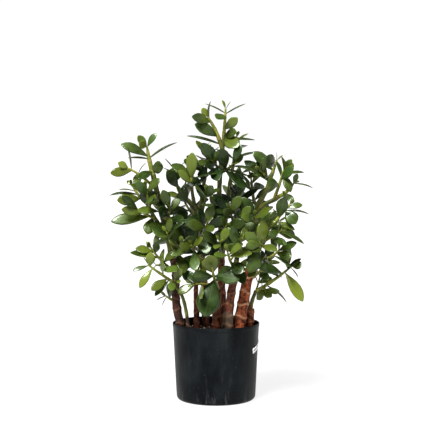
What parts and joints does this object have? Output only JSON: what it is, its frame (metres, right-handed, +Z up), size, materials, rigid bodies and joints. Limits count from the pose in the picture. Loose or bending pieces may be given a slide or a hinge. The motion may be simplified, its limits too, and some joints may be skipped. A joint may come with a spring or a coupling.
{
  "type": "potted jade plant",
  "caption": "Bushy jade plant with thick glossy leaves on woody stems, rooted in a round plastic nursery pot with a white sticker.",
  "frame": {"origin": "centre of the pot's flat underside, on the surface it stands on", "axes": "+Z up along the pot's axis, -Y towards the plant's front, +X to the right as seen from the front"},
  "size_m": [0.439, 0.3156, 0.6525],
  "materials": {
    "pot_plastic": "injection-moulded charcoal plastic, slightly bluish, satin, lightly scuffed",
    "potting_mix": "dark crumbly potting mix with bark chips",
    "label_paper": null,
    "stem_bark": "reddish-brown jade bark with paler leaf-scar rings",
    "shoot_green": "smooth glossy succulent leaves, dark green above and paler below, on yellow-green twigs"
  },
  "bodies": {
    "root": {"pot": "pot_plastic", "potting_soil": "potting_mix", "pot_label": "label_paper", "stem_01": "stem_bark", "stem_02": "stem_bark", "stem_03": "stem_bark", "stem_04": "stem_bark", "stem_05": "stem_bark", "stem_06": "stem_bark", "stem_07": "stem_bark", "stem_08": "stem_bark", "stem_09": "stem_bark", "stem_10": "stem_bark", "shoot_01": "shoot_green", "shoot_02": "shoot_green", "shoot_03": "shoot_green", "shoot_04": "shoot_green", "shoot_05": "shoot_green", "shoot_06": "shoot_green", "shoot_07": "shoot_green", "shoot_08": "shoot_green", "shoot_09": "shoot_green", "shoot_10": "shoot_green", "shoot_11": "shoot_green", "shoot_12": "shoot_green", "shoot_13": "shoot_green", "shoot_14": "shoot_green", "shoot_15": "shoot_green", "shoot_16": "shoot_green", "shoot_17": "shoot_green", "shoot_18": "shoot_green", "shoot_19": "shoot_green", "shoot_20": "shoot_green", "shoot_21": "shoot_green", "shoot_22": "shoot_green", "shoot_23": "shoot_green", "shoot_24": "shoot_green", "shoot_25": "shoot_green", "shoot_26": "shoot_green", "shoot_27": "shoot_green", "shoot_28": "shoot_green", "shoot_29": "shoot_green", "shoot_30": "shoot_green", "shoot_31": "shoot_green", "shoot_32": "shoot_green", "shoot_33": "shoot_green", "shoot_34": "shoot_green", "shoot_35": "shoot_green", "shoot_36": "shoot_green", "shoot_37": "shoot_green", "shoot_38": "shoot_green", "shoot_39": "shoot_green", "shoot_40": "shoot_green", "shoot_41": "shoot_green", "shoot_42": "shoot_green", "shoot_43": "shoot_green", "shoot_44": "shoot_green", "shoot_45": "shoot_green", "shoot_46": "shoot_green", "shoot_47": "shoot_green"}
  },
  "joints": []
}
